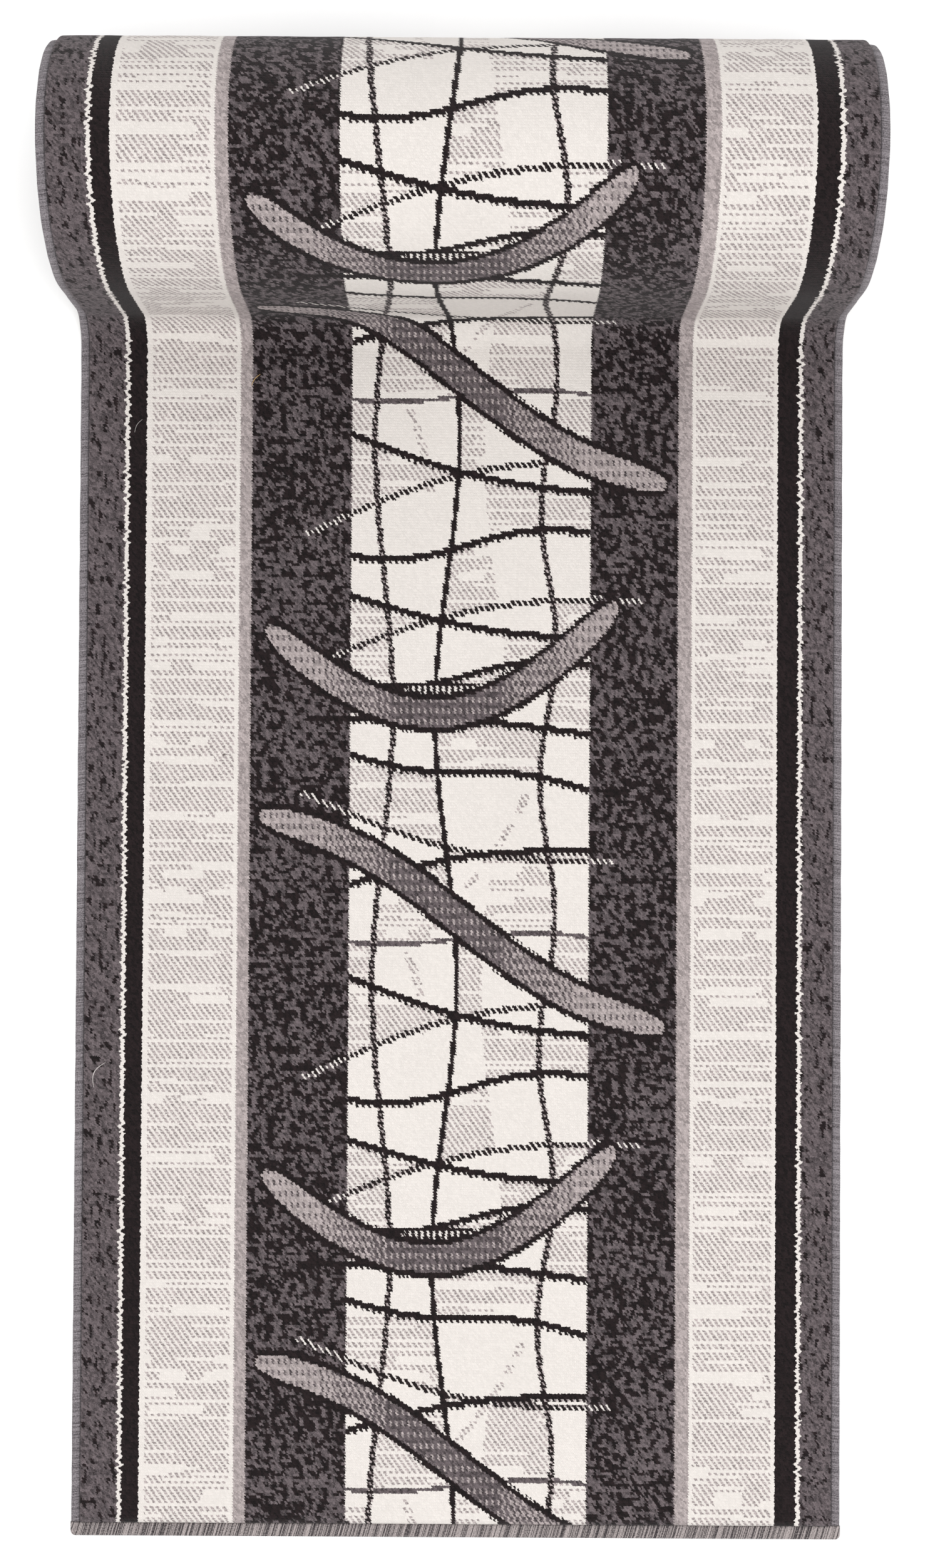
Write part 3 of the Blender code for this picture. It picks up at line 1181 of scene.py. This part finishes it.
@dataclass
class SideBinding(Binding):
    """The overlocked yarn along one side, on the left or the right. Its outer face wanders by 0.3 mm."""

    section: tuple[tuple[float, float, float], ...] = (
        (0.0095, 0.0026, 0.2), (0.0093, 0.0040, 0.8), (0.0078, 0.0046, 1.0), (0.0048, 0.0047, 1.0),
        (0.0020, 0.0043, 1.0), (0.0006, 0.0033, 1.0), (0.0003, 0.0018, 1.0), (0.0007, 0.0004, 0.6),
        (0.0016, 0.0001, 0.0), (0.0016, 0.0025, 0.0),
    )
    stitch: float = 0.0025
    rib: float = 0.00030
    slant: float = 0.10
    side: int = 1
    outer: float = 0.400
    end_margin: float = 0.0153
    rows_each: int = 4

    def build(self) -> bpy.types.Object:
        """Builds and dresses the binding.

        Returns:
            The piece, riding on the one body.
        """
        run = np.arange(self.end_margin, self.trace.length - self.end_margin, self.stitch / self.rows_each)
        inwards, level, push, closed = self.ribbed(run)
        wander = 0.00018 * np.sin(run / 0.021) + 0.00015 * np.sin(run / 0.0083 + 1)
        outwards = push - np.abs(wander)[:, None] * (inwards < 0.0012)
        x = self.side * (self.outer - inwards[None, :] + outwards)
        points = self.trace.place(x, np.broadcast_to(run[:, None], x.shape), level)
        weave = np.stack(np.broadcast_arrays(closed[None, :], run[:, None]), -1)
        hand = "right" if self.side > 0 else "left"
        piece = Skin("overlocked_edge_" + hand, points, weave, closed / closed[-1], folds=18).build()
        finish = OverlockYarn("polyester_yarn_overlocked_" + hand, "#9D969A", "#3E393C")
        piece.data.materials.append(finish.dress())
        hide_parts("edge_binding_right" if self.side > 0 else "edge_binding_left")
        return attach(piece, "root")


@dataclass
class EndBinding(Binding):
    """The overlocked yarn over one cut end, from corner to corner, with both corners rounded."""

    section: tuple[tuple[float, float, float], ...] = (
        (0.0149, 0.0026, 0.2), (0.0148, 0.0040, 0.8), (0.0128, 0.0046, 1.0), (0.0085, 0.0047, 1.0),
        (0.0038, 0.0045, 1.0), (0.0011, 0.0038, 1.0), (0.0003, 0.0022, 1.0), (0.0006, 0.0005, 0.6),
        (0.0016, 0.0001, 0.0), (0.0016, 0.0025, 0.0),
    )
    stitch: float = 0.0024
    rib: float = 0.00020
    slant: float = 0.25
    inner: bool = False
    half_width: float = 0.400
    rows_each: int = 5
    corner: float = 0.0045

    def build(self) -> bpy.types.Object:
        """Builds and dresses the binding.

        Returns:
            The piece, riding on the one body.
        """
        count = int(2 * self.half_width / self.stitch * self.rows_each)
        across = np.linspace(-self.half_width, self.half_width, count)
        inwards, level, push, closed = self.ribbed(across)
        edge = np.clip(self.corner - (self.half_width - np.abs(across)), 0, self.corner)
        cut = self.corner - np.sqrt(self.corner**2 - edge**2)
        inset = inwards[None, :] + cut[:, None] * (1 - inwards[None, :] / inwards.max()) - push
        run = self.trace.length - inset if self.inner else inset
        points = self.trace.place(np.broadcast_to(across[:, None], inset.shape), run, level)
        weave = np.stack(np.broadcast_arrays(closed[None, :], across[:, None] + 0.4), -1)
        which = "inner" if self.inner else "front"
        piece = Skin("overlocked_end_" + which, points, weave, closed / closed[-1], folds=4).build()
        name, stitches = "polyester_yarn_overlocked_" + which, {"pitch": 0.0024, "lean": 0.30, "turn": 0.0160}
        finish = OverlockYarn(name, "#ADA3A1", "#2A2427", variety=1.2, **stitches)
        piece.data.materials.append(finish.dress())
        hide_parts("end_binding_inner" if self.inner else "end_binding_front")
        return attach(piece, "root")


@dataclass
class LooseFibre:
    """One loose fibre lying on the pile: a thin tube along a curve.

    The curve is a straight run from start to end, bowed sideways by a half sine.
    """

    trace: Trace
    name: str
    start: tuple[float, float]
    end: tuple[float, float]
    bow: float
    finish: LintFibre
    radius: float = 0.00030
    height: float = 0.0094

    def build(self) -> bpy.types.Object:
        """Builds and dresses the fibre.

        Returns:
            The piece, riding on the one body.
        """
        t = np.linspace(0, 1, 25)
        lean = np.array(self.end) - np.array(self.start)
        side = np.array([-lean[1], lean[0]])
        line = np.array(self.start) + t[:, None] * lean + (self.bow * np.sin(math.pi * t))[:, None] * side
        ring = np.linspace(0, 2 * math.pi, 6, endpoint=False)
        size = self.radius * (0.35 + 0.65 * np.sin(math.pi * np.clip(t, 0.04, 0.96)) ** 0.5)[:, None]
        normal = side / np.hypot(*side)
        x = line[:, :1] - 0.4 + size * np.cos(ring) * normal[0]
        pile = line[:, 1:] + size * np.cos(ring) * normal[1]
        run = np.interp(pile, self.trace.pile_run, self.trace.run)
        level = self.height + size * np.sin(ring) + 0.0004 * np.sin(5 * t)[:, None]
        weave = np.zeros((25, 7, 2))
        weave[..., 0], weave[..., 1] = np.linspace(0, 0.002, 7), (t * 0.02)[:, None]
        piece = Skin(self.name, self.trace.place(x, run, level), weave, np.linspace(0, 1, 7)).build()
        piece.data.materials.append(self.finish.dress())
        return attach(piece, "root")


# ---------------------------------------------------------------- the studio


@dataclass
class Studio:
    """A plain pale floor, even soft light and the camera, nearly overhead. Sizes in metres and radians."""

    eye: tuple[float, float, float] = (0.0052, -0.0116, 2.2813)
    pitch: float = 0.0169
    roll: float = math.radians(0.33)
    lens: float = 50.0
    floor_half: float = 9.0
    floor_height: float = -0.0002
    sky_strength: float = 1.04
    lamp_place: tuple[float, float, float] = (0.5, -1.2, 4.2)
    lamp_size: float = 3.0
    lamp_watts: float = 90.0

    def floor(self) -> None:
        """A wide level floor just under the rug, in matt pale paint with a faint mottle."""
        half, height = self.floor_half, self.floor_height
        mesh = bpy.data.meshes.new("studio_floor")
        corners = [(x * half, y * half, height) for x, y in ((-1, -1), (1, -1), (1, 1), (-1, 1))]
        mesh.from_pydata(corners, [], [(0, 1, 2, 3)])
        piece = bpy.data.objects.new("studio_floor", mesh)
        bpy.context.scene.collection.objects.link(piece)
        made, tree, shader = new_material("floor_paint_matt")
        place = add_node(tree, "ShaderNodeTexCoord", output="Object")
        mottle = add_node(tree, NOISE, {"Vector": place, "Scale": 3.0, "Detail": 2.0})
        shades = {0: mottle, 6: linear("#FBFBFB"), 7: linear("#FDFDFD")}
        colour = add_node(tree, MIX, shades, 2, data_type="RGBA")
        cover(shader, colour, {"Roughness": 0.9, "Specular IOR Level": 0.1})
        mesh.materials.append(made)

    def light(self) -> None:
        """Even white light from all round, and one broad soft lamp high over the near end."""
        world = bpy.data.worlds.new("studio")
        bpy.context.scene.world = world
        world.use_nodes = True
        sky = world.node_tree.nodes["Background"]
        sky.inputs["Color"].default_value = linear("#FFFFFF")
        sky.inputs["Strength"].default_value = self.sky_strength
        lamp = bpy.data.lights.new("soft_lamp", "AREA")
        lamp.shape, lamp.size, lamp.energy = "DISK", self.lamp_size, self.lamp_watts
        holder = bpy.data.objects.new("soft_lamp", lamp)
        place = Vector(self.lamp_place)
        holder.location = place
        holder.rotation_euler = (-place).to_track_quat("-Z", "Y").to_euler()
        bpy.context.scene.collection.objects.link(holder)
        bpy.context.scene.view_settings.view_transform = "Standard"

    def camera(self) -> None:
        """Sets the camera: it looks down, tipped slightly towards the roll, and turned by a hair."""
        data = bpy.data.cameras.new("camera")
        data.lens, data.sensor_width, data.sensor_fit = self.lens, 36.0, "AUTO"
        holder = bpy.data.objects.new("camera", data)
        back = Vector((0, -math.sin(self.pitch), math.cos(self.pitch)))
        up = Vector((0, math.cos(self.pitch), math.sin(self.pitch)))
        right = up.cross(back)
        turned_up = up * math.cos(self.roll) - right * math.sin(self.roll)
        turned_right = turned_up.cross(back)
        axes = Matrix((turned_right, turned_up, back)).transposed()
        holder.matrix_world = Matrix.Translation(self.eye) @ axes.to_4x4()
        bpy.context.scene.collection.objects.link(holder)
        bpy.context.scene.camera = holder


def main() -> None:
    """Builds the rug piece by piece, then the studio."""
    logging.basicConfig(level=logging.INFO, format="%(message)s")
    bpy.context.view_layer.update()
    trace = SheetPath().trace(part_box("end_binding_front")[0].y)
    LOG.info("path of %.3f m", trace.length)
    pile = PileFace(trace).build()
    others = [Backing(trace).build()]
    others += [SideBinding(trace, side=side).build() for side in (-1, 1)]
    others += [EndBinding(trace, inner=inner).build() for inner in (False, True)]
    pale, straw = LintFibre("fibre_pale_shed", "#DCD6D2"), LintFibre("fibre_straw_shed", "#C9A46A")
    umber = LintFibre("fibre_umber_shed", "#4A3B38")
    fibres = (
        LooseFibre(trace, "loose_fibre_1", (0.021, 0.466), (0.033, 0.492), 0.22, pale),
        LooseFibre(trace, "loose_fibre_2", (0.180, 1.200), (0.189, 1.212), 0.10, straw),
        LooseFibre(trace, "loose_fibre_3", (0.058, 1.150), (0.066, 1.164), 0.12, pale, radius=0.00015),
        LooseFibre(trace, "loose_fibre_4", (0.153, 0.810), (0.158, 0.813), 0.45, umber, radius=0.0005),
    )
    others += [fibre.build() for fibre in fibres]
    for piece in [pile, *others]:
        LOG.info("%s: %d faces", piece.name, len(piece.data.polygons))
    studio = Studio()
    studio.floor()
    studio.light()
    studio.camera()


if __name__ == "__main__":
    main()
